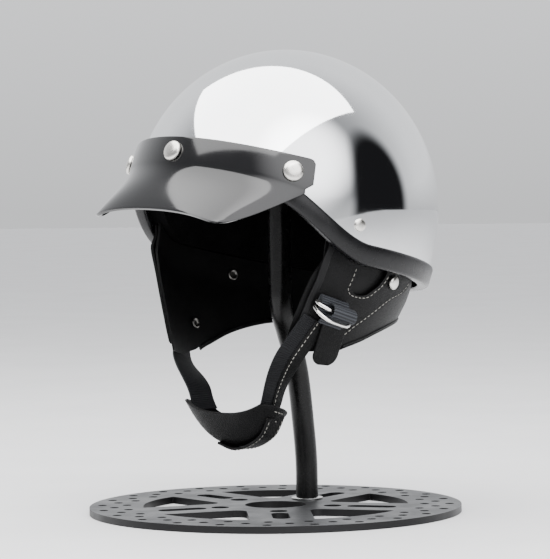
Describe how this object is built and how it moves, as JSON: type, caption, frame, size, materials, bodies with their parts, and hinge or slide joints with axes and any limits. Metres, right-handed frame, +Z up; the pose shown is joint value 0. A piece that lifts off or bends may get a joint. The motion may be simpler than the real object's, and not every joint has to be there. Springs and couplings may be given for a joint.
{
  "type": "half helmet on stand",
  "caption": "Chrome half helmet with a glossy peaked visor, leather neck curtain and chin cup, held on a bent post that stands on a drilled disc.",
  "frame": {"origin": "centre of the stand's disc on the ground, which is the bottom centre of the whole", "axes": "+Z up along the post, -Y the way the helmet's visor points, +X the wearer's left"},
  "size_m": [0.292, 0.292, 0.3621],
  "materials": {
    "chin_cup": "grained",
    "chin_strap_left": "stitched",
    "chin_strap_right": "ribbed webbing",
    "cup_strip": "stitched",
    "curtain_binding": "grained",
    "ear_harness_left": "grained, stitched",
    "ear_harness_right": "grained, stitched",
    "edge_trim": "satin",
    "eyelet_lower_left": "satin nickel",
    "eyelet_lower_right": "satin nickel",
    "eyelet_upper_left": "satin nickel",
    "eyelet_upper_right": "satin nickel",
    "foot_washer": "satin",
    "harness_snap_left": "satin nickel",
    "harness_snap_right": "satin nickel",
    "liner_crown": "matte",
    "liner_front": "matte",
    "liner_left": "matte",
    "liner_rear": "matte",
    "liner_right": "matte",
    "neck_curtain": "grained",
    "ring_loop": "ribbed webbing",
    "ring_lower": "bright nickel",
    "ring_upper": "bright nickel",
    "shell": "polished",
    "shell_rivet_front_left": "satin nickel",
    "shell_rivet_front_right": "satin nickel",
    "shell_rivet_rear_left": "satin nickel",
    "shell_rivet_rear_right": "satin nickel",
    "stand_base": "satin",
    "stand_post": "satin",
    "strap_tail": "matte",
    "visor": "gloss",
    "visor_snap_centre": "satin nickel",
    "visor_snap_left": "satin nickel",
    "visor_snap_right": "satin nickel"
  },
  "bodies": {
    "root": {"chin_cup": "chin_cup", "chin_strap_left": "chin_strap_left", "chin_strap_right": "chin_strap_right", "cup_strip": "cup_strip", "curtain_binding": "curtain_binding", "ear_harness_left": "ear_harness_left", "ear_harness_right": "ear_harness_right", "edge_trim": "edge_trim", "eyelet_lower_left": "eyelet_lower_left", "eyelet_lower_right": "eyelet_lower_right", "eyelet_upper_left": "eyelet_upper_left", "eyelet_upper_right": "eyelet_upper_right", "foot_washer": "foot_washer", "harness_snap_left": "harness_snap_left", "harness_snap_right": "harness_snap_right", "liner_crown": "liner_crown", "liner_front": "liner_front", "liner_left": "liner_left", "liner_rear": "liner_rear", "liner_right": "liner_right", "neck_curtain": "neck_curtain", "ring_loop": "ring_loop", "ring_lower": "ring_lower", "ring_upper": "ring_upper", "shell": "shell", "shell_rivet_front_left": "shell_rivet_front_left", "shell_rivet_front_right": "shell_rivet_front_right", "shell_rivet_rear_left": "shell_rivet_rear_left", "shell_rivet_rear_right": "shell_rivet_rear_right", "stand_base": "stand_base", "stand_post": "stand_post", "strap_tail": "strap_tail", "visor": "visor", "visor_snap_centre": "visor_snap_centre", "visor_snap_left": "visor_snap_left", "visor_snap_right": "visor_snap_right"}
  },
  "joints": []
}
